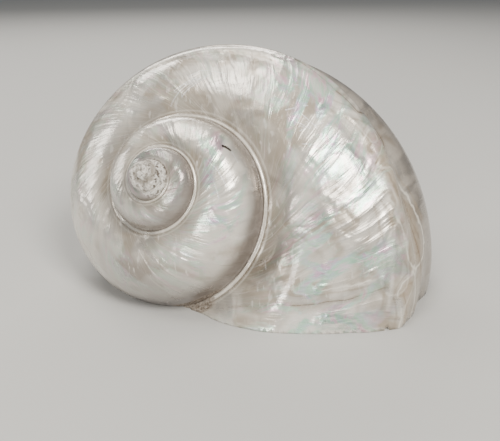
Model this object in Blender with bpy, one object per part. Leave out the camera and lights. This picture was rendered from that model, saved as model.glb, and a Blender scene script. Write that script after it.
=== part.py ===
"""A polished green turban shell, resting on its ground mouth with the spire to the front left.

It is one solid, as it grew: a tube coiled round an axis while it widened, each turn lying on
the one before. The last turn is hollow from the mouth back, the young turns are filled.
Metres, +Z up, the surface it rests on at Z = 0.
"""

import math

import bmesh
import bpy
import numpy as np
from mathutils import Matrix, Vector

# Lengths marked "in girths" are multiples of GIRTH, the radius of the tube at the lip, so the
# whole shell takes its size from this one number.
GIRTH = 0.0548

# Growth. The shell has its own frame: the apex at the origin, the axis along Z towards the
# apex. The growth angle t is 0 where the suture meets the lip and negative back in time.
FIRST_T = math.radians(-1357.5)
LAST_T = math.radians(112.5)
GROWTH = 0.1456               # log of the size per radian: 2.5 times larger each turn
YOUNG_GROWTH = -0.0000843     # the young turns widened more slowly

# The suture, where a turn lies on the one before, in girths at t = 0.
SUTURE_OUT = 0.937
SUTURE_DOWN = 0.827

# The tube's section at the lip, seen in a half plane through the axis, in girths. Its centre
# is this far from the axis and below the apex, and the radii go round that centre: angle 0
# points away from the axis and 90 towards the apex.
CENTRE_OUT = 1.250
CENTRE_DOWN = 1.780
SECTION = (
    (-152, 1.340),
    (-130, 1.100),
    (-110, 1.010),
    (-85, 0.996),             # the base
    (-60, 1.000),
    (-38, 1.044),
    (-18, 1.130),             # the lower ridge, mostly hidden under the next turn
    (0, 1.040),
    (16, 1.010),
    (32, 0.995),
    (50, 0.975),
    (70, 0.962),              # the ramp from the shoulder up to the suture
    (95, 1.007),
    (125, 1.050),
    (155, 1.240),
    (178, 1.560),             # past the axis, so that no hole is left along it
)
TOP_ANGLE = math.radians(108)
COVERED_ANGLE = math.radians(-14.6)

# Changes of that section along the way: the angle they are centred on, their width, their
# height in girths, and the growth angles between which they come in. All angles in degrees.
CHANGES = (
    (33, 9, 0.050, -330, -150),     # the shoulder ridge
    (15, 10, -0.085, -330, -150),   # the groove under it
    (-6, 22, 0.052, -130, -60),     # the flank bulges towards the lip
    (13, 9, 0.140, -90, -60),       # and fills the groove where it reaches the lip
    (23, 6.5, 0.100, -84, -54),     # so that a blunt keel meets the ground there
    (58, 30, -0.042, -80, -50),     # the ramp above it flattens
    (-3, 14, -0.045, -72, -57),     # and the flank under it tucks in
    (-148, 24, 0.620, -110, -15),   # the foot of the mouth, next to the axis
)

# The last half turn swells and moves out, in girths.
LATE_SWELLING = 0.0624
LATE_OUT = 0.117
LATE_DOWN = 0.016

# Past the lip only the side along the axis goes on: the tube closes in on the axis.
CLOSING_FROM = math.radians(0)
CLOSING_TO = math.radians(70)
CLOSED_SHARE = 0.07

# The hollow.
WALL = 0.0046
COLUMELLA_WALL = 0.0070       # extra wall where the tube closes in on the axis
LINING = 0.0012               # nacre laid down over the earlier turn inside the mouth
HOLLOW_FROM = math.radians(56)
HOLLOW_TO = math.radians(-270)
HOLLOW_END = math.radians(22)

# The worn, crusted knob at the tip: its radius and the depth of its middle, in girths.
KNOB_RADIUS = 0.125
KNOB_DOWN = 0.105

# The solid pillar along the axis: distance down from the apex and radius, in girths.
PILLAR = ((0.25, 0.04), (1.30, 0.13), (1.80, 0.19), (2.20, 0.22), (2.60, 0.18), (3.40, 0.18))

# How it lies: the apex over the floor, in girths, and the directions of the axis.
APEX = Vector((-0.805, 0.145, 1.265))
AXIS_ELEVATION = math.radians(31.84)
AXIS_HEADING = math.radians(-112.45)
LIP_AZIMUTH = math.radians(16.43)

COLUMNS_PER_TURN = 48
ROWS = (104, 98, 87, 76, 65, 54, 43, 34, 26, 17, 8, -4, -17, -28, -40, -52, -64, -76, -88,
        -100, -112, -124, -136, -147, -157, -166)
YOUNG_ROWS = (87, 65, 43, 34, 17, -4)
YOUNG_TURNS_END = math.radians(-735)
HOLLOW_ROWS = 28
SHARP_ANGLE = math.radians(40)


def closed_spline(table):
    """A smooth closed curve through the table of angles in degrees and values."""
    angles = np.radians([a for a, _ in table])
    values = np.array([v for _, v in table])
    turn = 2 * math.pi
    to_next = (np.roll(angles, -1) - angles) % turn
    to_last = (angles - np.roll(angles, 1)) % turn
    slopes = (np.roll(values, -1) - np.roll(values, 1)) / (to_next + to_last)

    def value(angle):
        angle = (np.asarray(angle, float) - angles[0]) % turn + angles[0]
        here = np.searchsorted(angles, angle, side="right") - 1
        there = (here + 1) % len(angles)
        span = to_next[here]
        x = (angle - angles[here]) / span
        return (
            (2 * x**3 - 3 * x**2 + 1) * values[here]
            + (x**3 - 2 * x**2 + x) * span * slopes[here]
            + (3 * x**2 - 2 * x**3) * values[there]
            + (x**3 - x**2) * span * slopes[there]
        )

    return value


section_radius = closed_spline(SECTION)


def ease(x):
    x = min(max(x, 0.0), 1.0)
    return x * x * (3 - 2 * x)


def size_at(t):
    return GIRTH * math.exp(GROWTH * t + YOUNG_GROWTH * t**3)


def section_at(t):
    """The section at t: its centre as out + up * 1j, its half width and its half height."""
    size = size_at(t)
    late = min(max(t / math.pi + 1, 0.0), 1.5)
    late = late * late * (3 - 2 * min(late, 1.0))
    share = 1 - (1 - CLOSED_SHARE) * ease((t - CLOSING_FROM) / (CLOSING_TO - CLOSING_FROM))
    out = size * share * (CENTRE_OUT + LATE_OUT * late)
    up = -size * (CENTRE_DOWN + LATE_DOWN * late)
    return complex(out, up), size * share * (1 + LATE_SWELLING * late), size


def radius_at(t, angle):
    radius = float(section_radius(angle))
    for middle, width, height, start, end in CHANGES:
        away = (math.degrees(angle) - middle + 180) % 360 - 180
        share = ease((math.degrees(t) - start) / (end - start))
        radius += height * share * math.exp(-((away / width) ** 2))
    return radius


def outline(t, angle):
    """The section's point at this angle, as out + up * 1j."""
    centre, half_width, half_height = section_at(t)
    radius = radius_at(t, angle)
    return centre + complex(
        half_width * radius * math.cos(angle), half_height * radius * math.sin(angle)
    )


def angle_of(t, point):
    centre, half_width, half_height = section_at(t)
    return math.atan2((point - centre).imag / half_height, (point - centre).real / half_width)


def is_inside(t, point, margin=0.0):
    centre, half_width, half_height = section_at(t)
    x = (point - centre).real / half_width
    y = (point - centre).imag / half_height
    reach = radius_at(t, math.atan2(y, x)) + margin / half_height
    return x * x + y * y < reach * reach


def suture(t):
    return complex(SUTURE_OUT, -SUTURE_DOWN) * size_at(t)


def surface(t, angle):
    """The outside of a turn. The young turns are narrower, so they are fitted to the sutures."""
    point = outline(t, angle)
    young = 1 - ease((t - math.radians(-450)) / math.radians(90))
    if young == 0 or angle < COVERED_ANGLE:
        return point
    top = outline(t, TOP_ANGLE)
    covered = outline(t, COVERED_ANGLE)
    fitted = suture(t) + (point - top) / (covered - top) * (suture(t + 2 * math.pi) - suture(t))
    return young * fitted + (1 - young) * point


def first_angle(t, start, stop, test):
    """The first angle from start to stop at which the outline passes the test."""
    low = start
    for high in np.linspace(start, stop, 120):
        if test(outline(t, high)):
            break
        low = high
    for _ in range(30):
        middle = (low + high) / 2
        if test(outline(t, middle)):
            high = middle
        else:
            low = middle
    return float(low + high) / 2


def place(t, point):
    azimuth = LIP_AZIMUTH - t
    return Vector((point.real * math.cos(azimuth), point.real * math.sin(azimuth), point.imag))


def make_object(name, points, faces):
    mesh = bpy.data.meshes.new(name)
    mesh.from_pydata(points, [], faces)
    work = bmesh.new()
    work.from_mesh(mesh)
    bmesh.ops.recalc_face_normals(work, faces=work.faces)
    if work.calc_volume(signed=True) < 0:
        bmesh.ops.reverse_faces(work, faces=work.faces)
    for face in work.faces:
        face.smooth = len(face.verts) < 10
    for edge in work.edges:
        edge.smooth = edge.calc_face_angle(0.0) < SHARP_ANGLE
    work.to_mesh(mesh)
    work.free()
    made = bpy.data.objects.new(name, mesh)
    bpy.context.scene.collection.objects.link(made)
    return made


def ladder(left, right):
    """Faces between two columns of labelled points, with a rung wherever the labels agree."""
    right_labels = [label for label, _ in right]
    rungs = [(i, right_labels.index(label)) for i, (label, _) in enumerate(left)
             if label in right_labels]
    faces = []
    for (a, c), (b, d) in zip(rungs, rungs[1:]):
        around = [p for _, p in left[a:b + 1]] + [p for _, p in right[c:d + 1]][::-1]
        faces.append(tuple(dict.fromkeys(around)))
    return faces


def whorls(name):
    """The outside of all turns, each from the suture at its top down to the next suture."""
    step = 2 * math.pi / COLUMNS_PER_TURN
    count = round((LAST_T - FIRST_T) / step)
    points = [Vector((0, 0, -0.4 * SUTURE_DOWN * size_at(FIRST_T)))]
    margin = math.radians(3)

    def add(t, point):
        points.append(place(t, point))
        return len(points) - 1

    def add_rows(t, rows, low, high):
        return [
            (row, add(t, surface(t, math.radians(row))))
            for row in rows
            if low + margin < math.radians(row) < high - margin
        ]

    sutures = [
        (add(FIRST_T + i * step, suture(FIRST_T + i * step)), TOP_ANGLE)
        for i in range(COLUMNS_PER_TURN)
    ]
    columns = [([("top", 0), ("bottom", s)],) * 2 for s, _ in sutures]
    open_column = count - COLUMNS_PER_TURN
    for i in range(count + 1):
        t = FIRST_T + i * step
        rows = YOUNG_ROWS if t < YOUNG_TURNS_END else ROWS
        top, top_angle = sutures[i]
        to_axis = first_angle(t, -math.pi / 2, -math.pi, lambda p: p.real < 0)
        covered = COVERED_ANGLE
        follower = t + 2 * math.pi
        if i > open_column:
            covered = to_axis
            low_point = complex(0, outline(t, to_axis).imag)
        elif follower > 0.01:
            covered = first_angle(t, 0.3, to_axis, lambda p: is_inside(follower, p))
            low_point = outline(t, covered)
        else:
            low_point = suture(follower)
        column = [("top", top)] + add_rows(t, rows, covered, top_angle)
        bottom = add(t, low_point)
        sutures.append((bottom, angle_of(follower, low_point)))
        onward = column + [("bottom", bottom)]
        if i == open_column:
            onward = column + [("covered", bottom)] + add_rows(t, rows, to_axis, covered)
            onward.append(("bottom", add(t, complex(0, outline(t, to_axis).imag))))
        columns.append((column + [("bottom", bottom)], onward))

    faces = []
    for (_, left), (right, _) in zip(columns, columns[1:]):
        faces += ladder(left, right)
    last_column = [point for _, point in columns[-1][0]]
    open_edge = [onward[-1][1] for _, onward in columns[COLUMNS_PER_TURN + open_column:-1]]
    start = [point for _, point in columns[COLUMNS_PER_TURN + open_column][1]]
    begin = start.index(last_column[0])
    faces.append(tuple(last_column + open_edge[::-1] + start[-2:begin:-1]))
    return make_object(name, points, faces)


def pillar_radius(down):
    return GIRTH * float(np.interp(down / GIRTH, *zip(*PILLAR)))


def hollow(name):
    """The inside of the last turn, kept clear of the turn before it and of the pillar."""
    step = 2 * math.pi / COLUMNS_PER_TURN
    count = round((HOLLOW_FROM - HOLLOW_TO) / step)
    angles = np.linspace(-math.pi, math.pi, HOLLOW_ROWS, endpoint=False)
    points = []
    for i in range(count + 1):
        t = HOLLOW_FROM + (HOLLOW_TO - HOLLOW_FROM) * i / count
        to_end = min(HOLLOW_FROM - t, t - HOLLOW_TO) / HOLLOW_END
        rounding = math.sqrt(1 - (1 - min(to_end + 0.03, 1.0)) ** 2)
        centre, half_width, half_height = section_at(t)
        wall = WALL * math.sqrt(size_at(t) / GIRTH)
        wall += COLUMELLA_WALL * max(0.0, 1 - half_width / half_height)
        for angle in angles:
            ray = outline(t, angle) - centre
            reach = (abs(ray) - wall) * rounding
            clear = centre
            for distance in np.linspace(0, reach, 80):
                point = centre + ray / abs(ray) * distance
                blocked = point.real < pillar_radius(-point.imag) + LINING
                if blocked or is_inside(t - 2 * math.pi, point, LINING):
                    break
                clear = point
            points.append(place(t, clear))
    n = HOLLOW_ROWS
    faces = [tuple(range(n)), tuple(range(count * n, count * n + n))]
    faces += sleeve(n, count + 1)
    return make_object(name, points, faces)


def sleeve(around, rings, first=0):
    """Quads between rings of points that follow one another."""
    faces = []
    for i in range(rings - 1):
        for j in range(around):
            k = (j + 1) % around
            a = first + i * around
            faces.append((a + j, a + k, a + around + k, a + around + j))
    return faces


def turned(name, profile, around=20):
    """A solid of revolution round the axis: a list of radius and depth below the apex."""
    points = []
    for radius, down in profile:
        for i in range(around):
            angle = 2 * math.pi * (i + 0.5) / around
            points.append(Vector((radius * math.cos(angle), radius * math.sin(angle), -down)))
    last = (len(profile) - 1) * around
    faces = [tuple(range(around)), tuple(range(last, last + around))]
    faces += sleeve(around, len(profile))
    return make_object(name, points, faces)


def box_below_floor(name):
    reach = 6 * GIRTH
    corners = [(x, y, z) for x in (-reach, reach) for y in (-reach, reach) for z in (-reach, 0)]
    faces = [(0, 1, 3, 2), (4, 6, 7, 5), (0, 4, 5, 1), (2, 3, 7, 6), (0, 2, 6, 4), (1, 5, 7, 3)]
    return make_object(name, corners, faces)


def add_boolean(target, tool, operation):
    modifier = target.modifiers.new(tool.name, "BOOLEAN")
    modifier.operation = operation
    modifier.solver = "EXACT"
    modifier.object = tool
    tool.hide_render = True
    tool.display_type = "WIRE"


def middle_of(made):
    """The middle of the finished object's box, at floor height."""
    graph = bpy.context.evaluated_depsgraph_get()
    corners = [Vector(c) for c in made.evaluated_get(graph).bound_box]
    low = [min(c[i] for c in corners) for i in range(2)]
    high = [max(c[i] for c in corners) for i in range(2)]
    return Vector(((low[0] + high[0]) / 2, (low[1] + high[1]) / 2, 0))


def pearl():
    material = bpy.data.materials.new("mother_of_pearl")
    material.use_nodes = True
    shader = material.node_tree.nodes["Principled BSDF"]
    shader.inputs["Base Color"].default_value = (0.72, 0.69, 0.64, 1.0)
    shader.inputs["Roughness"].default_value = 0.22
    return material


for old in list(bpy.data.objects):
    bpy.data.objects.remove(old)

shell = whorls("shell")
tip = turned("worn_tip", [
    (KNOB_RADIUS * GIRTH * math.sin(a), (KNOB_DOWN - KNOB_RADIUS * math.cos(a)) * GIRTH)
    for a in np.radians((12, 32, 52, 72, 92, 112, 132, 152, 168))
])
columella = turned("columella", [(radius * GIRTH, down * GIRTH) for down, radius in PILLAR])
inside = hollow("hollow")
below = box_below_floor("ground_away")

# Everything but the floor is laid down on the mouth.
lying = (
    Matrix.Translation(APEX * GIRTH)
    @ Matrix.Rotation(AXIS_HEADING, 4, "Z")
    @ Matrix.Rotation(math.pi / 2 - AXIS_ELEVATION, 4, "Y")
)
for piece in (shell, tip, columella, inside):
    piece.data.transform(lying)
add_boolean(shell, columella, "UNION")
add_boolean(shell, tip, "UNION")
add_boolean(shell, inside, "DIFFERENCE")
add_boolean(shell, below, "DIFFERENCE")

# The origin goes under the middle of the shell.
to_middle = Matrix.Translation(-middle_of(shell))
for piece in (shell, tip, columella, inside, below):
    piece.data.transform(to_middle)
    piece.data.update()
shell.data.materials.append(pearl())
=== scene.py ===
# %% [markdown]
# # A turban shell polished to the mother-of-pearl
#
# A turban shell is a tube that its snail wound round one axis while it widened. Makers grind off
# the green outer skin and polish what is under it: nacre, the pearly lining. This lesson grows
# the shell again from its own law, finer than the plain model does, and then gives it the relief
# and the lustre that show how it grew and how it was ground.

import math

import bmesh
import bpy
import numpy as np
from mathutils import Matrix, Vector


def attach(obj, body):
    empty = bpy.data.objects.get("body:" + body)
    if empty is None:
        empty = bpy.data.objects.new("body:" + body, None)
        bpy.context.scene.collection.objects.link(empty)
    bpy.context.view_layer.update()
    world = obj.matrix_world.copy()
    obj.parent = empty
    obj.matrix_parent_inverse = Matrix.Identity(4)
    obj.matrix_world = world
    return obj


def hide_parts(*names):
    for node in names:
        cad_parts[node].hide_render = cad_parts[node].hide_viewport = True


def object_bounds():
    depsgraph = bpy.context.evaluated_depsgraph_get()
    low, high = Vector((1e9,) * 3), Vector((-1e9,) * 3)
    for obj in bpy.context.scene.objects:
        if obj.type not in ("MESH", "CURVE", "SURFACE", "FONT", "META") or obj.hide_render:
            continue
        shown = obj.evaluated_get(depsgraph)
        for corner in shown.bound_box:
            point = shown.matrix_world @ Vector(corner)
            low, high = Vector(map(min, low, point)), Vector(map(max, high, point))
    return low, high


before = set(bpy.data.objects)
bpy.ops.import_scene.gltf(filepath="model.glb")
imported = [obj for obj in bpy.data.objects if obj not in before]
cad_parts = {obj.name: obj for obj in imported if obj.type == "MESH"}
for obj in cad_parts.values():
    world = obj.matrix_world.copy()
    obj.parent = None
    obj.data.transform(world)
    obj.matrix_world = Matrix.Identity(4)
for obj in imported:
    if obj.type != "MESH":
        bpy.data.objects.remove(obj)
plain_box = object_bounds()
print("the plain shell fills", [round((b - a) * 1000, 1) for a, b in zip(*plain_box)], "mm")

# %% [markdown]
# ## How the shell grew
#
# The growth angle t is 0 where the last suture meets the lip, and negative back in time. Each
# full turn is about 2.5 times larger than the one before, and the young turns widened a little
# more slowly. One length sets the size of everything: the radius of the tube at the lip.

# %% The growth law
GIRTH = 0.0548
FIRST_T = math.radians(-1357.5)
LAST_T = math.radians(112.5)
GROWTH = 0.1456
YOUNG_GROWTH = -0.0000843
TURN = 2 * math.pi


def size_at(t):
    return GIRTH * math.exp(GROWTH * t + YOUNG_GROWTH * t**3)


print("one turn widens the tube", round(size_at(0) / size_at(-TURN), 2), "times")

# %% [markdown]
# ## The section of the tube
#
# Cut through the axis, the tube is nearly round. Its radius is written as a list of angles and
# radii round its centre: 0 degrees points away from the axis, 90 towards the apex. A smooth
# closed curve joins them. The list under it says what changes as the shell grows up: a shoulder
# ridge with a groove under it comes in during the last turn, and the flank bulges at the lip.

# %% The section and its changes
# Radii, places and heights are in girths. A change has its middle and half width in degrees
# round the section, its height, and the growth angles where it starts and is complete.
CENTRE_OUT = 1.250
CENTRE_DOWN = 1.780
SUTURE_OUT = 0.937
SUTURE_DOWN = 0.827
SECTION = (
    (-152, 1.340), (-130, 1.100), (-110, 1.010), (-85, 0.996), (-60, 1.000), (-38, 1.044),
    (-18, 1.130), (0, 1.040), (16, 1.010), (32, 0.995), (50, 0.975), (70, 0.962),
    (95, 1.007), (125, 1.050), (155, 1.240), (178, 1.560),
)
CHANGES = (
    (33, 9, 0.050, -330, -150),
    (15, 10, -0.085, -330, -150),
    (-6, 22, 0.052, -130, -60),
    (13, 9, 0.140, -90, -60),
    (23, 6.5, 0.100, -84, -54),
    (58, 30, -0.042, -80, -50),
    (-3, 14, -0.045, -72, -57),
    (-148, 24, 0.620, -110, -15),
)
# Where the section starts at the suture above, and where the next turn covers it.
TOP_ANGLE = math.radians(108)
COVERED_ANGLE = math.radians(-14.6)
# In its last half turn the tube swells and moves out. Past the lip it closes to a point, so
# that the mesh ends in a small lid, which lies below the floor.
LATE_SWELLING = 0.0624
LATE_OUT = 0.117
LATE_DOWN = 0.016
CLOSING_TO = math.radians(70)
CLOSED_SHARE = 0.07


def closed_spline(table):
    angles = np.radians([a for a, _ in table])
    values = np.array([v for _, v in table])
    to_next = (np.roll(angles, -1) - angles) % TURN
    to_last = (angles - np.roll(angles, 1)) % TURN
    slopes = (np.roll(values, -1) - np.roll(values, 1)) / (to_next + to_last)

    def value(angle):
        angle = (np.asarray(angle, float) - angles[0]) % TURN + angles[0]
        here = np.searchsorted(angles, angle, side="right") - 1
        there = (here + 1) % len(angles)
        span = to_next[here]
        x = (angle - angles[here]) / span
        return (
            (2 * x**3 - 3 * x**2 + 1) * values[here]
            + (x**3 - 2 * x**2 + x) * span * slopes[here]
            + (3 * x**2 - 2 * x**3) * values[there]
            + (x**3 - x**2) * span * slopes[there]
        )

    return value


section_radius = closed_spline(SECTION)


def ease(x):
    x = np.clip(x, 0.0, 1.0)
    return x * x * (3 - 2 * x)


def section_at(t):
    """The centre as out + up * 1j, the half width and the half height."""
    size = size_at(t)
    late = min(max(t / math.pi + 1, 0.0), 1.5)
    late = late * late * (3 - 2 * min(late, 1.0))
    share = 1 - (1 - CLOSED_SHARE) * ease(t / CLOSING_TO)
    out = size * share * (CENTRE_OUT + LATE_OUT * late)
    up = -size * (CENTRE_DOWN + LATE_DOWN * late)
    return complex(out, up), size * share * (1 + LATE_SWELLING * late), size


def radius_at(t, angle):
    radius = section_radius(angle)
    for middle, width, height, start, end in CHANGES:
        away = (np.degrees(angle) - middle + 180) % 360 - 180
        share = ease((math.degrees(t) - start) / (end - start))
        radius = radius + height * share * np.exp(-((away / width) ** 2))
    return radius


def outline(t, angle):
    centre, half_width, half_height = section_at(t)
    radius = radius_at(t, angle)
    return centre + half_width * radius * np.cos(angle) + 1j * half_height * radius * np.sin(angle)


def suture(t):
    return complex(SUTURE_OUT, -SUTURE_DOWN) * size_at(t)


print("the lip's section is", round(2000 * GIRTH), "mm across")

# %% [markdown]
# ## Each turn lies on the one before
#
# The line where two turns meet is the suture. The young turns were narrower than the law says,
# so their outside is fitted between the suture above and the suture below. A point is covered
# when it lies inside the next turn.


# %% Where a turn is covered
def surface(t, angle):
    point = outline(t, angle)
    young = 1 - ease((t - math.radians(-450)) / math.radians(90))
    if young == 0:
        return point
    top = outline(t, TOP_ANGLE)
    covered = outline(t, COVERED_ANGLE)
    fitted = suture(t) + (point - top) / (covered - top) * (suture(t + TURN) - suture(t))
    return young * fitted + (1 - young) * point


def is_inside(t, point, margin=0.0):
    centre, half_width, half_height = section_at(t)
    x = (point - centre).real / half_width
    y = (point - centre).imag / half_height
    reach = radius_at(t, np.arctan2(y, x)) + margin / half_height
    return x * x + y * y < reach * reach


def angle_of(t, point):
    centre, half_width, half_height = section_at(t)
    return math.atan2((point - centre).imag / half_height, (point - centre).real / half_width)


def first_angle(t, start, stop, test):
    """The first angle from start to stop at which the outline passes the test."""
    for _ in range(3):
        angles = np.linspace(start, stop, 60)
        passed = np.nonzero(test(outline(t, angles)))[0]
        first = passed[0] if len(passed) else len(angles) - 1
        start, stop = angles[max(first - 1, 0)], angles[first]
    return float(start + stop) / 2


back = math.radians(-275)
print("275 degrees back from the lip, the next turn covers what is below",
      round(math.degrees(first_angle(back, 0.3, -3.1, lambda p: is_inside(back + TURN, p)))),
      "degrees")

# %% [markdown]
# ## Growth lines
#
# The snail added new shell along its whole lip at once. Each old lip is a growth line, and it
# runs back from the suture as it crosses the ramp. So the relief and the colours are not laid
# out by t alone but by the time of growth: t plus this sweep. The numbers are degrees of sweep
# at angles round the section.

# %% The sweep of the growth lines
SWEEP_ANGLES = (-170, -60, 0, 38, 53, 65, 76, 86, 98, 108)
SWEEP = (62, 66, 56, 47, 40.5, 35.5, 31, 25, 14, 0)


def time_of_growth(t, angle):
    return t + np.radians(np.interp(np.degrees(angle), SWEEP_ANGLES, SWEEP))


print("a growth line at the shoulder is", SWEEP[3], "degrees behind the suture")

# %% [markdown]
# ## Relief
#
# Under the polish the shell keeps its relief. Beside each suture runs a narrow raised cord with a
# fine groove outside it, then the ramp dips into a shallow gutter. Long soft waves follow the
# growth lines. They are made as real shape, a few tenths of a millimetre high, so that the
# highlights bend over them. A sum of sines with uneven periods stands in for the snail's uneven
# seasons.

# %% Relief of the outside
# All heights and widths are metres on the last turn, and the ones of the cord shrink less than
# the shell does towards the tip. A wave has its rate, its phase in degrees and its share.
CORD_WIDTH = 0.0014
CORD_HEIGHT = 0.00055
CORD_SHRINKS = 0.35
GROOVE_DEPTH = 0.00038
OUTER_RIDGE_HEIGHT = 0.00022
GUTTER_DEPTH = 0.00070
WAVES = ((7.3, 20, 1.0), (11.9, 150, 0.8), (19.7, 70, 0.6))
WAVE_HEIGHT = 0.00005
LATE_WAVE_HEIGHT = 0.00014
FOLD_HEIGHT = 0.0010
EDGE_HEIGHT = 0.00055
EDGE_CUT_DEPTH = 0.00040


def bump(x, middle, width):
    return np.exp(-(((x - middle) / width) ** 2))


def relief(t, angle, below_suture, above_suture):
    """Metres outwards. The last two are distances in metres from the two sutures."""
    degrees = math.degrees(t)
    around = np.degrees(angle)
    size = size_at(t) / GIRTH
    grown = np.degrees(time_of_growth(t, angle))

    # The cord is boldest where each turn passes under the right side of the spire.
    bold = 0.55 + 0.45 * math.cos(t + math.radians(60))
    cord = CORD_WIDTH * size**CORD_SHRINKS
    strength = bold * size**CORD_SHRINKS * ease((degrees + 850) / 60)
    height = CORD_HEIGHT * strength * bump(below_suture, 0.55 * cord, 0.45 * cord)
    height = height - GROOVE_DEPTH * strength * bump(below_suture, 1.35 * cord, 0.35 * cord)
    height = height + OUTER_RIDGE_HEIGHT * strength * bump(below_suture, 2.1 * cord, 0.4 * cord)
    height = height - GUTTER_DEPTH * size * bump(below_suture, 5.0 * cord, 2.6 * cord)

    waves = sum(share * np.sin(np.radians(grown * rate + phase)) for rate, phase, share in WAVES)
    late = ease((degrees + 170) / 150)
    fade = ease(below_suture / 0.012) * ease(above_suture / 0.006) * ease((around - 15) / 30)
    height = height + (WAVE_HEIGHT + LATE_WAVE_HEIGHT * late) * size * waves * fade

    # A soft fold beside the gutter, near the lip.
    fold = bump(around, 86, 5) * ease((degrees + 66) / 12) * ease((-degrees - 22) / 14)
    height = height + FOLD_HEIGHT * fold

    # The ground edge of the shoulder and the line cut under it.
    edge = ease((degrees + 260) / 60) * ease((-degrees - 92) / 20)
    height = height + EDGE_HEIGHT * edge * bump(around, 42, 3.5)
    height = height - EDGE_CUT_DEPTH * edge * bump(around, 35, 2.2)

    # Past the lip, and right at the sutures, the relief fades out.
    height = height * ease((40 - degrees) / 30)
    return height * ease(below_suture / 0.0003) * ease(above_suture / 0.0004)


print("cord beside the last suture", round(CORD_WIDTH * 1000, 2), "mm wide,",
      round(CORD_HEIGHT * 1000, 2), "mm high")

# %% [markdown]
# ## Where the grinder cut through the layers
#
# Near the shoulder the wheel cut through bumps in the layers, and each cut bump shows as a dull
# tongue with a pale outline. Growth lines, scratches and one short crack are thin lines, and so
# are a painted highlight along the ground edge of the shoulder and a painted shade in the groove
# under it. Their places are given by a few points each, as degrees of growth and degrees round
# the section, and the mesh will carry the distance to them: a distance changes evenly over a
# face, so a line much thinner than a face still comes out clean.

# %% Tongues and lines
# A tongue has its half width in centimetres before its points.
TONGUES = (
    (0.62, ((-20.5, 78), (-20.5, 66), (-20, 54), (-19, 44))),
    (0.80, ((-49, 37), (-41, 31), (-31, 24), (-20, 15))),
    (0.45, ((-11, 24), (-5, 20), (3, 16))),
    (0.35, ((-92, 22), (-80, 24), (-68, 22))),
)
# The first is a dark growth line; the second is painted shade in the groove under the shoulder.
DARK_LINES_AND_GROOVE_SHADE = (
    ((-12, 100), (-12.6, 88), (-11.5, 76), (-12.6, 65), (-12, 53), (-12, 38)),
    ((-150, 34), (-120, 33), (-95, 32), (-81, 34), (-70, 37), (-60, 34), (-54, 14), (-48, 12),
     (-36, 29), (-25, 17), (-17, 13), (-8, 10), (6, 8)),
)
PALE_LINES = (
    ((-51, 106), (-50.6, 98), (-50, 86), (-50.4, 76), (-49.8, 65), (-50.6, 53)),
    ((-125, 72), (-142, 83), (-162, 97)), ((-127, 75), (-150, 92)), ((-131, 74), (-149, 85)),
    ((-419.5, 36), (-411, 34)), ((-118, 70), (-129, 68), (-136, 73)),
    ((-86, 74), (-79, 62)), ((-83, 77), (-73, 70)), ((-76, 76), (-70, 61)),
    ((-72, 79), (-66, 71)), ((-81, 69), (-71, 66)), ((-66, 66), (-60, 57)),
    ((-90, 60), (-84, 53)), ((-395, 70), (-420, 82)), ((-402, 60), (-432, 78)),
)
# Painted highlights along the ground edge of the shoulder.
RIDGE_HIGHLIGHT_LINES = (
    ((-160, 43), (-130, 42), (-105, 41), (-93, 41), (-79, 47), (-68, 46), (-63, 41), (-56, 30)),
    ((-47, 50), (-40, 46), (-32, 43), (-25, 39), (-18, 36), (-8, 33)),
)
CRACKS = (
    ((-428, 45), (-424, 40), (-419.5, 36)),
)
# Centimetres from anything, and how many girths the shoulder is from the axis.
FAR = 20.0
SHOULDER_OUT = 1.9


def along(t):
    """Length of shell grown at the shoulder up to t, in centimetres."""
    return 100 * SHOULDER_OUT * GIRTH * np.exp(GROWTH * t) / GROWTH


def in_cm(grown, around):
    """Degrees of growth and round the section as centimetres along and across the shell."""
    angle = math.radians(around)
    start = math.radians(grown) - float(time_of_growth(0, angle))
    return complex(along(math.radians(grown)), angle * size_at(start) * 100)


def away_from(lines, spots):
    """Centimetres from each spot to the nearest line: with a sign for its side, and without."""
    nearest = np.full(len(spots), FAR)
    sided = np.full(len(spots), FAR)
    for line in lines:
        points = [in_cm(*point) for point in line]
        for a, b in zip(points, points[1:]):
            over = (spots - a) * (b - a).conjugate() / abs(b - a) ** 2
            distance = np.abs(spots - a - np.clip(over.real, 0, 1) * (b - a))
            sided = np.where(distance < nearest, over.imag * abs(b - a), sided)
            nearest = np.minimum(nearest, distance)
    return sided, nearest


def mark_maps(growth):
    """Maps of the distances from the marks, the tongues' as a share of their half width."""
    spots = np.array(growth) @ np.array([1, 1j])
    tongues = np.full(len(spots), FAR)
    for half_width, line in TONGUES:
        tongues = np.minimum(tongues, away_from((line,), spots)[1] / half_width)
    return {
        "tongues": np.column_stack((tongues, away_from(CRACKS, spots)[1])),
        "dark_lines_and_groove_shade": np.column_stack(away_from(DARK_LINES_AND_GROOVE_SHADE, spots)),
        "pale_lines": np.column_stack(away_from(PALE_LINES, spots)),
        "painted_ridge_lines": np.column_stack(away_from(RIDGE_HIGHLIGHT_LINES, spots)),
    }


print(sum(map(len, (TONGUES, DARK_LINES_AND_GROOVE_SHADE, PALE_LINES, RIDGE_HIGHLIGHT_LINES, CRACKS))), "tongues and lines")

# %% [markdown]
# ## Laying the mesh
#
# The outside is laid out column by column, each from the suture at its top down to the next
# suture, and neighbouring turns share the suture's points, so the mesh is closed without any
# welding. Each point carries a row label, and faces are drawn between equal labels.
#
# The corners of the faces carry maps for the finish. Two are in centimetres of real shell: how
# far along and round the growth a corner is, and how far it is from the suture above and the one
# below. "turns" holds tens of degrees of growth and round the section, and the rest hold the
# distances to the tongues and lines. What isn't outer shell has a mark in place of the sutures.

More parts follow.
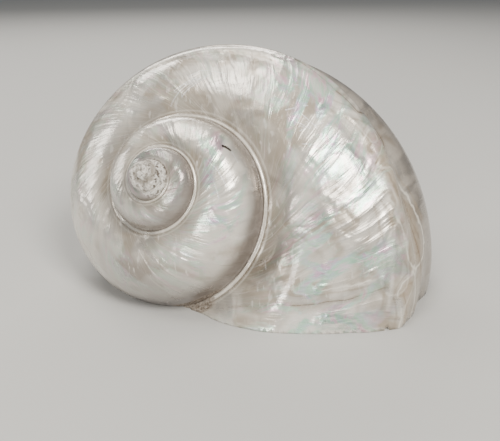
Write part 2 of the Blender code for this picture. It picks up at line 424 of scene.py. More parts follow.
# %% Rows, rungs and objects
LIP_AZIMUTH = math.radians(16.43)
COLUMNS_PER_TURN = 240
CORD_ROWS = (107.7, 107.4, 107.1, 106.8, 106.5, 106.2, 105.9, 105.6, 105.2, 104.8, 104.3, 103.7,
             103.0, 102.2, 101.2)
ROWS = CORD_ROWS + tuple(range(100, -168, -2))
YOUNG_ROWS = (106.8, 105.9, 104.8, 103.7, 102.2) + tuple(range(100, -16, -4))
YOUNG_UNTIL = math.radians(-735)
MARK_MAPS = ("turns", "tongues", "dark_lines_and_groove_shade", "pale_lines", "painted_ridge_lines")
TIP_MARK = 5.0
INSIDE_MARK = 7.0
CUT_MARK = 9.0
FLAT_FACE_CORNERS = 10


def angle_for(label, t, top_angle):
    """Row labels are angles, shifted next to the suture so that the first rows follow it."""
    near = ease((label - 60) / (108 - 60)) * ease((20 - math.degrees(t)) / 20)
    return np.radians(label) + (top_angle - TOP_ANGLE) * near


def place(t, point):
    azimuth = LIP_AZIMUTH - t
    return Vector((point.real * math.cos(azimuth), point.real * math.sin(azimuth), point.imag))


def ladder(left, right):
    """Faces between two columns of labelled points, with a rung wherever the labels agree."""
    right_labels = {label: j for j, (label, _) in enumerate(right)}
    rungs = [(i, right_labels[label]) for i, (label, _) in enumerate(left)
             if label in right_labels]
    faces = []
    for (a, c), (b, d) in zip(rungs, rungs[1:]):
        around = [p for _, p in left[a:b + 1]] + [p for _, p in right[c:d + 1]][::-1]
        faces.append(tuple(dict.fromkeys(around)))
    return faces


def make_object(name, points, faces, maps=None):
    mesh = bpy.data.meshes.new(name)
    mesh.from_pydata(points, [], faces)
    for title, values in (maps or {}).items():
        layer = mesh.uv_layers.new(name=title)
        layer.data.foreach_set("uv", np.array(values, np.float32).ravel())
    work = bmesh.new()
    work.from_mesh(mesh)
    bmesh.ops.recalc_face_normals(work, faces=work.faces)
    if work.calc_volume(signed=True) < 0:
        bmesh.ops.reverse_faces(work, faces=work.faces)
    # Only the lids have many corners, and they stay flat.
    for face in work.faces:
        face.smooth = len(face.verts) < FLAT_FACE_CORNERS
    work.to_mesh(mesh)
    work.free()
    made = bpy.data.objects.new(name, mesh)
    bpy.context.scene.collection.objects.link(made)
    return made


def plain_maps(corners, mark):
    """Maps for a face with no growth lines: all far away, and a mark that says what it is."""
    maps = {title: [(FAR, FAR)] * corners for title in MARK_MAPS}
    return {"sutures": [(mark, mark)] * corners, **maps}


print(len(ROWS), "rows and", COLUMNS_PER_TURN, "columns a turn")

# %% The turns
# Distances in metres noted where there is no suture, or where it is out of reach.
NO_SUTURE = 0.5
OUT_OF_REACH = 0.05
FIRST_TURN_LENGTH = 0.01


def whorls(name):
    """The outside of all turns with its maps, closed by one lid at the end of the last turn."""
    step = TURN / COLUMNS_PER_TURN
    count = round((LAST_T - FIRST_T) / step)
    points = [Vector((0, 0, -0.4 * SUTURE_DOWN * size_at(FIRST_T)))]
    margin = math.radians(0.15)

    def add(t, point):
        points.append(place(t, point))
        return len(points) - 1

    def add_column(t, rows, low, high, low_point, high_point, top_angle):
        angles = angle_for(np.array(rows, float), t, top_angle)
        kept = (low + margin < angles) & (angles < high - margin * 0.5)
        labels = [row for row, keep in zip(rows, kept) if keep]
        angles = angles[kept]
        if not labels:
            return [], []
        path = surface(t, angles)
        # The late sections swell, so the last centimetre is drawn in to meet the suture.
        gap = high_point - complex(surface(t, np.array([high]))[0])
        path = path + gap * ease(1 - (high - angles) / math.radians(14)) * (high == top_angle)
        chain = np.concatenate(([high_point], path, [low_point]))
        steps = np.abs(np.diff(chain))
        below = np.cumsum(steps)[:-1]
        above = np.cumsum(steps[::-1])[::-1][1:]
        centre = section_at(t)[0]
        outward = (path - centre) / np.abs(path - centre)
        height = relief(t, angles, below, above)
        made = [(label, add(t, point)) for label, point in zip(labels, path + outward * height)]
        return made, list(zip(angles, below, above))

    corner = {}

    def note(column, index, t, angle, below, above):
        corner[(column, index)] = (
            (along(time_of_growth(t, angle)), angle * size_at(t) * 100),
            (below * 100, above * 100),
            (math.degrees(time_of_growth(t, angle)) / 10, math.degrees(angle) / 10),
        )

    sutures = [
        (add(FIRST_T + i * step, suture(FIRST_T + i * step)), TOP_ANGLE,
         suture(FIRST_T + i * step))
        for i in range(COLUMNS_PER_TURN)
    ]
    columns = [([("top", 0), ("bottom", s)],) * 2 for s, _, _ in sutures]
    for j, (s, _, _) in enumerate(sutures):
        t = FIRST_T + (j - COLUMNS_PER_TURN) * step
        note(j, 0, t, TOP_ANGLE, 0, FIRST_TURN_LENGTH)
        note(j, s, t, 0.0, FIRST_TURN_LENGTH, 0)
    open_column = count - COLUMNS_PER_TURN
    for i in range(count + 1):
        t = FIRST_T + i * step
        key = i + COLUMNS_PER_TURN
        rows = YOUNG_ROWS if t < YOUNG_UNTIL else ROWS
        top, top_angle, top_point = sutures[i]
        to_axis = first_angle(t, -math.pi / 2, -math.pi, lambda p: p.real < 0)
        covered = COVERED_ANGLE
        follower = t + TURN
        if i > open_column:
            covered = to_axis
            low_point = complex(0, complex(outline(t, to_axis)).imag)
        else:
            if follower > -math.pi / 2:
                met = first_angle(t, 0.3, to_axis, lambda p: is_inside(follower, p))
                covered += (met - covered) * ease(1 + follower / (math.pi / 2))
            low_point = complex(surface(t, covered))
        made, places = add_column(t, rows, covered, top_angle, low_point, top_point, top_angle)
        column = [("top", top)] + made
        note(key, top, t, top_angle, 0, OUT_OF_REACH)
        for (_, index), (angle, below, above) in zip(made, places):
            note(key, index, t, angle, below, NO_SUTURE if i > open_column else above)
        length = places[-1][1] + places[-1][2] if places else FIRST_TURN_LENGTH
        bottom = add(t, low_point)
        note(key, bottom, t, covered, length, NO_SUTURE if i > open_column else 0)
        sutures.append((bottom, angle_of(follower, low_point), low_point))
        onward = column + [("bottom", bottom)]
        if i == open_column:
            last = complex(0, complex(outline(t, to_axis)).imag)
            made, places = add_column(t, rows, to_axis, covered, last, low_point, top_angle)
            for (_, index), (angle, below, above) in zip(made, places):
                note(key, index, t, angle, below, NO_SUTURE)
            onward = column + [("covered", bottom)] + made
            onward.append(("bottom", add(t, last)))
            note(key, onward[-1][1], t, to_axis, NO_SUTURE, NO_SUTURE)
        columns.append((column + [("bottom", bottom)], onward))

    faces = []
    growth = []
    edges = []
    turns = []
    for j, ((_, left), (right, _)) in enumerate(zip(columns, columns[1:])):
        left_points = {p for _, p in left}
        for face in ladder(left, right):
            faces.append(face)
            for p in face:
                spot = corner.get((j, p)) if p in left_points else None
                spot = spot or corner.get((j + 1, p)) or corner.get((j, p))
                growth.append(spot[0])
                edges.append(spot[1])
                turns.append(spot[2])
    last_column = [point for _, point in columns[-1][0]]
    open_edge = [onward[-1][1] for _, onward in columns[COLUMNS_PER_TURN + open_column:-1]]
    start = [point for _, point in columns[COLUMNS_PER_TURN + open_column][1]]
    begin = start.index(last_column[0])
    lid = tuple(last_column + open_edge[::-1] + start[-2:begin:-1])
    faces.append(lid)
    growth += [(0.0, 0.0)] * len(lid)
    edges += [(CUT_MARK, CUT_MARK)] * len(lid)
    turns += [(0.0, 0.0)] * len(lid)
    maps = {"growth": growth, "sutures": edges, "turns": turns, **mark_maps(growth)}
    return make_object(name, points, faces, maps)


pearl_shell = whorls("pearl_shell")
print("outside:", len(pearl_shell.data.polygons), "faces")

# %% [markdown]
# ## The hollow, the pillar and the worn tip
#
# The hollow is a second skin inside the last turn: rays from the middle of the section stop at
# the wall, at the turn before, or at the pillar along the axis. It is taken out of the outside
# with a Boolean, which leaves a real rim at the mouth. The pillar and the crusted cap at the tip
# are turned shapes joined on, and a box takes off what would lie below the floor.

# %% The hollow
WALL = 0.0046
COLUMELLA_WALL = 0.0070
LINING = 0.0012
HOLLOW_FROM = math.radians(56)
HOLLOW_TO = math.radians(-270)
HOLLOW_END = math.radians(22)
HOLLOW_STEP = math.radians(3)
PILLAR = ((0.25, 0.04), (1.30, 0.13), (1.80, 0.19), (2.20, 0.22), (2.60, 0.18), (3.40, 0.18))
HOLLOW_ROWS = 84


def sleeve(around, rings):
    faces = []
    for i in range(rings - 1):
        for j in range(around):
            k = (j + 1) % around
            a = i * around
            faces.append((a + j, a + k, a + around + k, a + around + j))
    return faces


def hollow(name):
    count = round((HOLLOW_FROM - HOLLOW_TO) / HOLLOW_STEP)
    angles = np.linspace(-math.pi, math.pi, HOLLOW_ROWS, endpoint=False)
    shares = np.linspace(0, 1, 120)
    points = []
    spots = []
    for i in range(count + 1):
        t = HOLLOW_FROM + (HOLLOW_TO - HOLLOW_FROM) * i / count
        to_end = min(HOLLOW_FROM - t, t - HOLLOW_TO) / HOLLOW_END
        rounding = math.sqrt(1 - (1 - min(to_end + 0.03, 1.0)) ** 2)
        centre, half_width, half_height = section_at(t)
        wall = WALL * math.sqrt(size_at(t) / GIRTH)
        wall += COLUMELLA_WALL * max(0.0, 1 - half_width / half_height)
        rays = outline(t, angles) - centre
        reach = (np.abs(rays) - wall) * rounding
        tries = centre + (rays / np.abs(rays) * reach)[:, None] * shares[None, :]
        pillar = GIRTH * np.interp(-tries.imag / GIRTH, *zip(*PILLAR))
        blocked = (tries.real < pillar + LINING) | is_inside(t - TURN, tries, LINING)
        blocked[:, 0] = False
        first = np.where(blocked.any(axis=1), blocked.argmax(axis=1) - 1, len(shares) - 1)
        for angle, point in zip(angles, tries[np.arange(HOLLOW_ROWS), first]):
            points.append(place(t, point))
            spots.append((along(t), angle * size_at(t) * 100))
    n = HOLLOW_ROWS
    faces = [tuple(range(n)), tuple(range(count * n, count * n + n))] + sleeve(n, count + 1)
    growth = [spots[p] for face in faces for p in face]
    maps = {"growth": growth, **plain_maps(len(growth), INSIDE_MARK)}
    return make_object(name, points, faces, maps)


inside = hollow("hollow")
print("hollow:", len(inside.data.polygons), "faces")

# %% The pillar, the tip and the floor cut
KNOB_RADIUS = 0.125 * GIRTH
KNOB_DOWN = 0.105 * GIRTH


def turned(name, profile, around, mark, bumps=None):
    """A turned shape below its centre. Its growth map is the height of its bumps in mm."""
    points = []
    heights = []
    for radius, down in profile:
        for i in range(around):
            angle = TURN * (i + 0.5) / around
            grow = bumps(angle, radius, down) if bumps else 0.0
            heights.append((grow * 1000, 0.0))
            away = Vector((radius * math.cos(angle), radius * math.sin(angle), KNOB_DOWN - down))
            away += away.normalized() * grow
            points.append(away + Vector((0, 0, -KNOB_DOWN)))
    last = (len(profile) - 1) * around
    faces = [tuple(range(around)), tuple(range(last, last + around))]
    faces += sleeve(around, len(profile))
    growth = [heights[p] for face in faces for p in face]
    maps = {"growth": growth, **plain_maps(len(growth), mark)}
    return make_object(name, points, faces, maps)


def tip_coil(angle, radius, down):
    """Half a millimetre of spiral groove, the last trace of the first turns, on uneven chalk."""
    reach = math.atan2(radius, KNOB_DOWN - down)
    wave = math.cos(reach * 5.6 - angle)
    uneven = math.sin(5 * angle + 9 * reach) * math.sin(3 * angle - 14 * reach + 1)
    return (0.00052 * wave + 0.00012 * uneven) * min(reach / 0.25, 1.0)


tip = turned("worn_tip", [
    (KNOB_RADIUS * math.sin(a), KNOB_DOWN - KNOB_RADIUS * math.cos(a))
    for a in np.radians(np.linspace(3, 168, 48))
], 96, TIP_MARK, tip_coil)
columella = turned("columella", [(radius * GIRTH, down * GIRTH) for down, radius in PILLAR],
                   48, INSIDE_MARK)
reach = 6 * GIRTH
corners = [(x, y, z) for x in (-reach, reach) for y in (-reach, reach) for z in (-reach, 0)]
sides = [(0, 1, 3, 2), (4, 6, 7, 5), (0, 4, 5, 1), (2, 3, 7, 6), (0, 2, 6, 4), (1, 5, 7, 3)]
side_corners = 4 * len(sides)
below = make_object("ground_away", corners, sides, {
    "growth": [(0.0, 0.0)] * side_corners, **plain_maps(side_corners, CUT_MARK)})
print("tip", round(KNOB_RADIUS * 2000, 1), "mm across")

# %% [markdown]
# ## Laying it down
#
# Everything but the floor cut is tipped onto the mouth, with the apex over the floor where the
# plain model has it, and the Booleans are applied there. What comes out is one closed skin. A
# small chip is then cut out of the ground rim of the lip.

# %% Joining and cutting
APEX = Vector((-0.805, 0.145, 1.265))
AXIS_ELEVATION = math.radians(31.84)
AXIS_HEADING = math.radians(-112.45)
CHIP_PLACE = Vector((0.0610, -0.0655, -0.0002))
CHIP_RADIUS = 0.0010
CHIP_SHAPE = Vector((1.2, 3.2, 1.6))
lying = (
    Matrix.Translation(APEX * GIRTH)
    @ Matrix.Rotation(AXIS_HEADING, 4, "Z")
    @ Matrix.Rotation(math.pi / 2 - AXIS_ELEVATION, 4, "Y")
)


def apply_booleans(piece, tools):
    """Join or cut with closed tools, one after the other, and leave one plain mesh."""
    for tool, operation in tools:
        modifier = piece.modifiers.new(tool.name, "BOOLEAN")
        modifier.operation = operation
        modifier.solver = "EXACT"
        modifier.object = tool
    graph = bpy.context.evaluated_depsgraph_get()
    made = bpy.data.meshes.new_from_object(piece.evaluated_get(graph))
    piece.modifiers.clear()
    piece.data = made
    for tool, _ in tools:
        bpy.data.objects.remove(tool)
    return made


for piece in (pearl_shell, tip, columella, inside):
    piece.data.transform(lying)
cut = apply_booleans(pearl_shell, ((columella, "UNION"), (tip, "UNION"), (inside, "DIFFERENCE"),
                                   (below, "DIFFERENCE")))
low = Vector([min(v.co[i] for v in cut.vertices) for i in range(3)])
high = Vector([max(v.co[i] for v in cut.vertices) for i in range(3)])
to_plain = (Vector(plain_box[0]) + Vector(plain_box[1]) - low - high) / 2
cut.transform(Matrix.Translation((to_plain.x, to_plain.y, 0)))

chip = turned("chip", [
    (CHIP_RADIUS * math.sin(a), -CHIP_RADIUS * math.cos(a))
    for a in np.radians(np.linspace(10, 170, 9))
], 10, CUT_MARK)
chip.data.transform(Matrix.Translation(CHIP_PLACE) @ Matrix.Diagonal(CHIP_SHAPE).to_4x4())
cut = apply_booleans(pearl_shell, ((chip, "DIFFERENCE"),))

work = bmesh.new()
work.from_mesh(cut)
open_edges = sum(1 for e in work.edges if not e.is_manifold)
triangles = sum(len(f.verts) - 2 for f in work.faces)
work.free()
print("the shell:", triangles, "triangles,", open_edges, "open edges, box",
      [round((b - a) * 1000, 1) for a, b in zip(low, high)], "mm")

# %% [markdown]
# ## Nacre
#
# Mother-of-pearl is thousands of layers of aragonite, each about half a micrometre thick. Under
# a polish it gives the eye three things at once: a milky body, a broad silky gleam that lies
# along the layers, and faint pink and green where light from neighbouring layers adds up. The
# grinder cut through the layers at a slant, so their edges show as pale outlines and dull beige
# bands near the shoulder, as the growth rings do in a planed board.

# %% Helpers for the finish
def colour(text):
    """An sRGB hex colour as linear light, the way the shader wants it."""
    parts = [int(text[i:i + 2], 16) / 255 for i in (0, 2, 4)]
    parts = [p / 12.92 if p <= 0.04045 else ((p + 0.055) / 1.055) ** 2.4 for p in parts]
    return (*parts, 1.0)


nacre = bpy.data.materials.new("polished_nacre")
nacre.use_nodes = True
tree = nacre.node_tree
shader = tree.nodes["Principled BSDF"]


def add_node(kind, links=None, output=0, **settings):
    """Add a node with its settings, set or link its inputs, and give back one output."""
    node = tree.nodes.new("ShaderNode" + kind)
    for name, value in settings.items():
        setattr(node, name, value)
    for socket, value in (links or {}).items():
        if isinstance(value, bpy.types.NodeSocket):
            tree.links.new(value, node.inputs[socket])
        else:
            node.inputs[socket].default_value = value
    return node.outputs[output]


print("cream", [round(c, 3) for c in colour("e4e0d8")])

# %% [markdown]
# Four small steps make the whole finish. A mask says where something is, by how far a map has
# gone between two values. A stripe is a mask along one value. A total adds up what a dial is set
# by. Paint lays colours over each other, each through its mask, as a restorer would.

# %% Masks, stripes, totals and paint
def mask(*parts):
    """The product of its parts. A part is a number, a mask made before, or three values: what
    is measured, where the mask is still 0 and where it is fully 1, smooth in between."""
    product = None
    for part in parts:
        if isinstance(part, tuple):
            value, none, full = part
            part = add_node("MapRange", {"Value": value, "From Min": none, "From Max": full},
                            interpolation_type="SMOOTHSTEP")
        if product is not None:
            part = add_node("Math", {0: product, 1: part}, operation="MULTIPLY")
        product = part
    return product


def total(*terms):
    """The sum of its terms. A term is a value, or the parts of a mask."""
    result = None
    for term in terms:
        if isinstance(term, tuple):
            term = mask(*term)
        if result is not None:
            term = add_node("Math", {0: result, 1: term}, operation="ADD")
        result = term
    return result


def stripe(value, middle, width):
    """A mask that is 1 at the middle and falls to 0 at the width on both sides."""
    away = add_node("Math", {0: total(value, -middle)}, operation="ABSOLUTE")
    return mask((away, width, 0.0))


def paint(under, *coats):
    """Coats of colour over what is under them. Each is a colour and the parts of its mask."""
    for tint, *parts in coats:
        tint = colour(tint) if isinstance(tint, str) else tint
        under = add_node("Mix", {0: mask(*parts), 6: under, 7: tint}, 2, data_type="RGBA")
    return under


# %% Places on the shell, and uneven patterns of a real size
def both(title):
    return add_node("SeparateXYZ", {0: add_node("UVMap", uv_map=title)}).node.outputs[:2]


# The growth map is in centimetres and the object's space in metres. Both become millimetres.
on_shell = add_node("Mapping", {"Vector": add_node("UVMap", uv_map="growth"),
                                "Scale": (10, 10, 10)})
in_space = add_node("Mapping", {"Vector": add_node("TexCoord", output="Object"),
                                "Scale": (1000, 1000, 1000)})
tip_height_mm, _ = both("growth")
below_cm, above_cm = both("sutures")
grown, around = both("turns")
tongue, crack = both("tongues")


def pattern(size, detail, rough, over=on_shell, offset=(0, 0, 0), warp=0.0):
    """Uneven patches with a size in millimetres along each axis: along and round the shell, or
    the three axes of space."""
    placed = add_node("Mapping", {"Vector": over, "Scale": [1 / mm for mm in size],
                                  "Location": offset})
    return add_node("TexNoise", {"Vector": placed, "Scale": 1.0, "Detail": detail,
                                 "Roughness": rough, "Distortion": warp})


print("the nacre knows its place by", len(pearl_shell.data.uv_layers), "maps")

# %% Body and silk
# Dull beige patches of 25 mm, wisps of 17 mm, and silk that follows the growth lines.
# The wisps and the silk set where a pale painted sheen is laid on the body.
clouds = pattern((25, 25, 25), 2.5, 0.5, in_space, warp=0.9)
wisps = pattern((16.67, 16.67, 16.67), 2.0, 0.40, in_space, (4, 7, 0), 1.0)
silk = pattern((6.667, 45.45, 10), 3.0, 0.5, warp=0.6)
# Near the suture the growth lines crowd together, so the silk fades there.
silk = total((total(silk, -0.5), (around, 10.6, 7.0)), 0.5)
sheen = total((silk, 0.45), (wisps, 0.55))
# Painted shade on the ramp of the last turn, below the spire.
shade_under_the_spire = mask((around, 9.4, 6.0), stripe(grown, -29.5, 6.0))
# A painted highlight on the shoulder near the lip.
highlight_near_lip = mask((grown, -1.9, -0.6), (around, 3.2, 5.0), (below_cm, 1.5, 4.0))
body = paint(
    colour("e8e2d6"),
    ("b4a897", (clouds, 0.42, 0.60)),
    # Pale cream where the wisps and the silk are high: a painted sheen.
    ("faf5ec", (sheen, 0.49, 0.60), 0.75),
    ("b9ad9d", (silk, 0.45, 0.70), 0.22),
    # Darker on the lower side of each turn, below the shoulder: painted shade.
    ("80756a", (around, 3.4, -0.2), 0.75),
    ("857d77", shade_under_the_spire, 0.70),
    ("f8f4ec", highlight_near_lip, 0.60),
)
print("so far", len(tree.nodes), "nodes")

# %% [markdown]
# A cut layer shows its edge as a contour, as a hill does on a map. So a tongue is drawn from its
# distance map plus a slow wobble of about 1 cm: dull inside, with a pale line and a beige one
# round it. The lines wobble a little in the same way, so that none looks ruled.

# %% Tongues and lines
wobble = total(pattern((11.11, 11.11, 10), 3.0, 0.55, offset=(1, 2, 0)), -0.5)
level = total((wobble, 1.1), tongue)
in_tongue = mask((level, 1.10, 0.60), (around, 5.2, 4.2))
# More such outlines show faintly wherever the wheel cut deep, along the shoulder.
shoulder = mask(stripe(around, 3.4, 3.0), (grown, -30.0, -22.0))
rings = total((shoulder, 0.35),
              pattern((33.33, 33.33, 10), 2.0, 0.45, offset=(3, 0, 0), warp=0.5))
rings = add_node("Math", {0: mask(rings, 8.0)}, operation="FRACT")
dark_line_and_shade, near_dark_line_and_shade = both("dark_lines_and_groove_shade")
dark_line_and_shade = total((wobble, 0.20), dark_line_and_shade)
ridge_highlight, near_ridge_highlight = both("painted_ridge_lines")
ridge_highlight = total((wobble, 0.20), ridge_highlight)
white, near_white = both("pale_lines")
white = total((wobble, 0.06), white)
scratch = mask(stripe(white, 0.0, 0.045), (near_white, 0.2, 0.1))
# A painted shade in the shallow hollow beside the gutter, patchy with the wisps.
valley_shade = mask(stripe(grown, -3.6, 1.9), (around, 6.6, 8.4), (wisps, 0.25, 0.50))
# A painted shade along the wide gutter beside the last suture, patchy with the wisps.
wide_gutter_shade = mask((below_cm, 2.4, 0.5), stripe(grown, -7.5, 5.5), (wisps, 0.25, 0.55))
body = paint(
    body,
    ("ab9b86", in_tongue, 0.72),
    ("8f7d69", stripe(level, 0.50, 0.12), in_tongue, 0.55),
    ("f8f2e4", stripe(level, 1.08, 0.13), 0.80),
    ("a99a86", stripe(level, 1.45, 0.16), 0.50),
    ("a39480", stripe(rings, 0.5, 0.20), shoulder, 0.45),
    ("fbf6ea", stripe(rings, 0.74, 0.14), shoulder, 0.35),
    # A dark growth line, and painted shade in the groove under the shoulder.
    ("9a8874", stripe(dark_line_and_shade, 0.0, 0.30), (near_dark_line_and_shade, 0.5, 0.3), 0.35),
    ("7d6a55", stripe(dark_line_and_shade, 0.0, 0.05), (near_dark_line_and_shade, 0.25, 0.15), 0.80),
    # A painted highlight along the shoulder ridge, with painted shade just under it.
    ("f6f0e4", stripe(ridge_highlight, 0.0, 0.16), (near_ridge_highlight, 0.4, 0.25), 0.70),
    ("a3937e", stripe(ridge_highlight, 0.26, 0.10), (near_ridge_highlight, 0.5, 0.35), 0.45),
    ("ffffff", scratch, 0.75),
    ("877967", valley_shade, 0.90),
    ("8f8272", wide_gutter_shade, 0.75),
)
print("so far", len(tree.nodes), "nodes")

# %% Cord and gutter beside the suture
# The cord is 1 mm wide on the young turns and nearly 2 mm at the lip. Across it, the colours are
# measured in widths of the cord. Fine scratches 1.6 mm apart and a comb of 1.25 mm run beside it.
cord_cm = total(((grown, -75.0, -3.0), 0.08), 0.10)
across = add_node("Math", {0: below_cm, 1: cord_cm}, operation="DIVIDE")
past_tip = mask((grown, -82.0, -76.0))
# Darker across the gutter beside the cord: painted shade of its hollow.
gutter_shade = mask((across, 0.9, 1.6), (across, 9.0, 2.0))
hatch = pattern((1.613, 16.67, 4.348), 1.5, 0.5, in_space, (3, 3, 1), 0.2)
comb = pattern((1.25, 20, 10), 2.0, 0.5, offset=(2, 9, 0))
body = paint(
    body,
    ("978a77", gutter_shade, 0.60),
    ("8d7f6d", stripe(across, 1.40, 0.30), past_tip, 0.50),
    ("e4ddcf", stripe(across, 0.70, 0.80), past_tip, 0.85),
    ("e6dfd0", stripe(across, 2.1, 0.40), past_tip, 0.50),
    ("7d7263", (across, 0.18, 0.04), 0.45),
    ("fffaf0", (hatch, 0.60, 0.70), (clouds, 0.42, 0.55), (around, 3.0, 5.0), 0.45),
    ("f4efe5", (comb, 0.50, 0.70), (below_cm, 1.8, 0.3), 0.40),
    # Darker where a turn runs under the next one: painted shade.
    ("857d7a", (above_cm, 1.6, 0.7), (above_cm, 0.0, 0.02), 0.72),
)
print("so far", len(tree.nodes), "nodes")

# %% [markdown]
# The pink and green of nacre come from layers as thin as a wave of light. They move as the eye
# moves, but here they are laid on as faint tints, in patches of 1 to 2 cm, because a tint that
# stays in place looks the same on every screen and after any export.

# %% Pink and green
TINTS = ((0.32, "f3bcd2"), (0.42, "faeaf0"), (0.50, "c0f0d2"), (0.58, "d6ecec"),
         (0.66, "efc6e4"))
sheen_spots = pattern((16.67, 23.81, 10), 3.0, 0.6, offset=(11, 4, 0), warp=1.0)
hue = pattern((11.765, 15.385, 10), 3.0, 0.6, offset=(7, 2, 0), warp=1.4)
tints = add_node("ValToRGB", {"Fac": hue})
stops = tints.node.color_ramp.elements
while len(stops) < len(TINTS):
    stops.new(0.5)
for stop, (position, tint) in zip(stops, TINTS):
    stop.position = position
    stop.color = colour(tint)
# They are strongest between the shoulder and the gutter, near the lip and on the turn before.
strong = add_node("Math", {0: mask((grown, -11.0, -8.0)), 1: mask(stripe(grown, -40.0, 9.0), 1.3)},
                  operation="MAXIMUM")
pearly = mask((sheen_spots, 0.44, 0.58), stripe(around, 6.2, 5.0), total((strong, 0.75), 0.25))
body = paint(body, (tints, pearly, 0.95))
print(len(TINTS), "tints")

# %% The crusted tip
# The first two turns kept a chalky crust. Its grain is about 1 mm and its pits 2 mm.
is_tip = mask(stripe(below_cm, TIP_MARK, 0.3), (grown, 15.0, 18.0))
young = mask((total((wobble, 9.0), grown), -100.0, -106.0))
crusted = add_node("Math", {0: is_tip, 1: young}, operation="MAXIMUM")
crust_grain = pattern((0.9091, 0.9091, 0.9091), 4.0, 0.65, in_space)
pit_places = mask((pattern((6.25, 6.25, 6.25), 1.0, 0.5, in_space, (5, 1, 0)), 0.46, 0.60))
pits = mask((pattern((1.786, 1.786, 1.786), 2.5, 0.55, in_space, (2, 0, 0)), 0.53, 0.60),
            total((pit_places, 0.4), 0.6))
crust = paint(
    colour("c9c1b4"),
    ("f6f3ec", (crust_grain, 0.35, 0.65)),
    ("5c5145", pits, 0.95),
    # Darker in the groove of the tip's coil: painted shade.
    ("857a6c", is_tip, (tip_height_mm, -0.05, -0.45), 0.70),
)
# Where the last suture runs out, the lip broke away a little and left a rough brown patch.
broken = total((stripe(grown, -30.7, 2.2), (above_cm, 0.60, 0.30)),
               (stripe(grown, 0.1, 2.2), (below_cm, 0.70, 0.35)))
broken = mask((total((crust_grain, 0.8), broken), 0.62, 0.80))
rubble = paint(colour("6a5c4d"), ("a3978a", (crust_grain, 0.4, 0.6)))
is_crack = mask((crack, 0.075, 0.045))
body = paint(
    body,
    (crust, crusted),
    (rubble, broken, 0.9),
    ("5c5145", (below_cm, 0.10, 0.03), (grown, -76.0, -82.0), (crust_grain, 0.62, 0.45), 0.85),
    ("33281d", is_crack, 0.95),
)
rough_spots = add_node("Math", {0: crusted, 1: broken}, operation="MAXIMUM")
print("so far", len(tree.nodes), "nodes")

# %% [markdown]
# The gleam of nacre comes from sheets under the surface. They are uneven, so their gleam breaks
# into patches, while the polished surface itself reflects as a smooth one. So the shader's body
# is a little metallic with a bumpy normal, and its coat has a smooth normal of its own. Aragonite
# bends light by about 1.6. The crust and the broken patch are dull and have no coat to speak of.

# %% Gloss and fine relief
gloss = pattern((12.5, 16.67, 10), 3.0, 0.6, offset=(5, 5, 0))
roughness = total((gloss, 0.24), (rough_spots, 0.45), 0.18)
gleam = mask(total(((sheen, 0.44, 0.60), 0.40), (pearly, 0.25), 0.20),
             total(1.0, (rough_spots, -1.0)), total((in_tongue, -0.6), 1.0))
# The distances are metres of depth: sheets, crinkles of 4 mm, chalk, and the coat's scratches.
sheets = add_node("Bump", {"Strength": 0.7, "Distance": 0.0034, "Height": sheen})
crinkle_height = pattern((3.846, 3.846, 3.846), 2.0, 0.5, in_space, (9, 1, 0), 1.0)
crinkles = add_node("Bump", {"Strength": 0.16, "Distance": 0.0005, "Height": crinkle_height,
                             "Normal": sheets})
chalk = add_node("Bump", {"Strength": rough_spots, "Distance": 0.0006, "Normal": crinkles,
                          "Height": total(crust_grain, (pits, -1.0))})
polish = add_node("Bump", {
    "Strength": 0.35, "Distance": 0.0004,
    "Height": total((gloss, 1.2), 1.0, (scratch, -0.6), (is_crack, -1.0))})
for socket, value in (
    ("Base Color", body), ("Roughness", roughness), ("Metallic", gleam), ("Normal", chalk),
    ("Coat Weight", total((rough_spots, -0.5), 0.55)), ("Coat Normal", polish),
):
    tree.links.new(value, shader.inputs[socket])
shader.inputs["IOR"].default_value = 1.6
shader.inputs["Coat Roughness"].default_value = 0.06
print("nacre:", len(tree.nodes), "nodes")

# %% Put the nacre on the shell
pearl_shell.data.materials.clear()
pearl_shell.data.materials.append(nacre)
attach(pearl_shell, "root")
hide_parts("shell")
print("the nacre covers", len(pearl_shell.data.polygons), "faces")

# %% [markdown]
# ## The table, the light and the camera
#
# A plain pale floor and five soft lights let the form and the lustre speak. Nacre shows what it
# reflects, so each light is a broad rectangle: a ceiling, one behind, one on each side of the
# camera and a weak one from the left. The camera looks down on the shell a little, from where
# the photograph was taken.

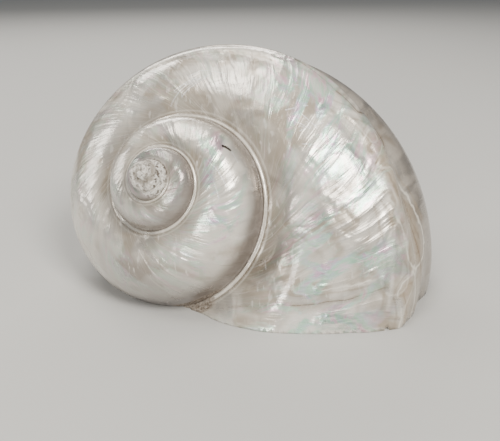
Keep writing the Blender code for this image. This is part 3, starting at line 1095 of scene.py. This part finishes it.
# %% Floor and light
def sheet(name, size, location):
    mesh = bpy.data.meshes.new(name)
    work = bmesh.new()
    bmesh.ops.create_grid(work, x_segments=1, y_segments=1, size=size / 2)
    work.to_mesh(mesh)
    work.free()
    made = bpy.data.objects.new(name, mesh)
    made.location = location
    bpy.context.scene.collection.objects.link(made)
    return made


floor = sheet("floor", 6.0, (0, 0, -0.0002))
matt = bpy.data.materials.new("pale_matt_floor")
matt.use_nodes = True
matt.node_tree.nodes["Principled BSDF"].inputs["Base Color"].default_value = colour("c9c9c6")
matt.node_tree.nodes["Principled BSDF"].inputs["Roughness"].default_value = 0.9
floor.data.materials.append(matt)

world = bpy.data.worlds.new("soft_room")
bpy.context.scene.world = world
world.use_nodes = True
world.node_tree.nodes["Background"].inputs["Color"].default_value = colour("e9edf2")
world.node_tree.nodes["Background"].inputs["Strength"].default_value = 0.20


# All lights aim at the middle of the shell.
AIM = Vector((0, 0, 0.05))


def soft_light(name, location, size, watts, tint):
    light = bpy.data.lights.new(name, "AREA")
    light.shape = "RECTANGLE"
    light.size, light.size_y = size
    light.energy = watts
    light.color = colour(tint)[:3]
    made = bpy.data.objects.new(name, light)
    made.location = location
    towards = AIM - Vector(location)
    made.rotation_euler = towards.to_track_quat("-Z", "Y").to_euler()
    bpy.context.scene.collection.objects.link(made)
    return made


soft_light("ceiling", (-0.25, 0.1, 1.4), (1.0, 0.5), 10, "fff9f0")
soft_light("back", (-0.3, 1.2, 0.9), (1.2, 0.3), 9, "fffaf4")
soft_light("left", (-1.3, 0.2, 0.6), (0.4, 0.6), 5, "fdfaf6")
soft_light("front", (0.60, -0.85, 1.1), (0.5, 0.6), 22, "fffaf2")
soft_light("window", (-0.45, -1.3, 0.42), (0.5, 0.25), 7, "fdfaf6")

# %% Camera
camera_data = bpy.data.cameras.new("camera")
camera_data.lens = 43.2
camera_data.sensor_width = 36
camera_data.clip_start = 0.01
camera = bpy.data.objects.new("camera", camera_data)
bpy.context.scene.collection.objects.link(camera)
camera.location = (0.00028, -0.28900, 0.15122)
camera.rotation_euler = (math.radians(90 - 23.68), 0, 0)
bpy.context.scene.camera = camera
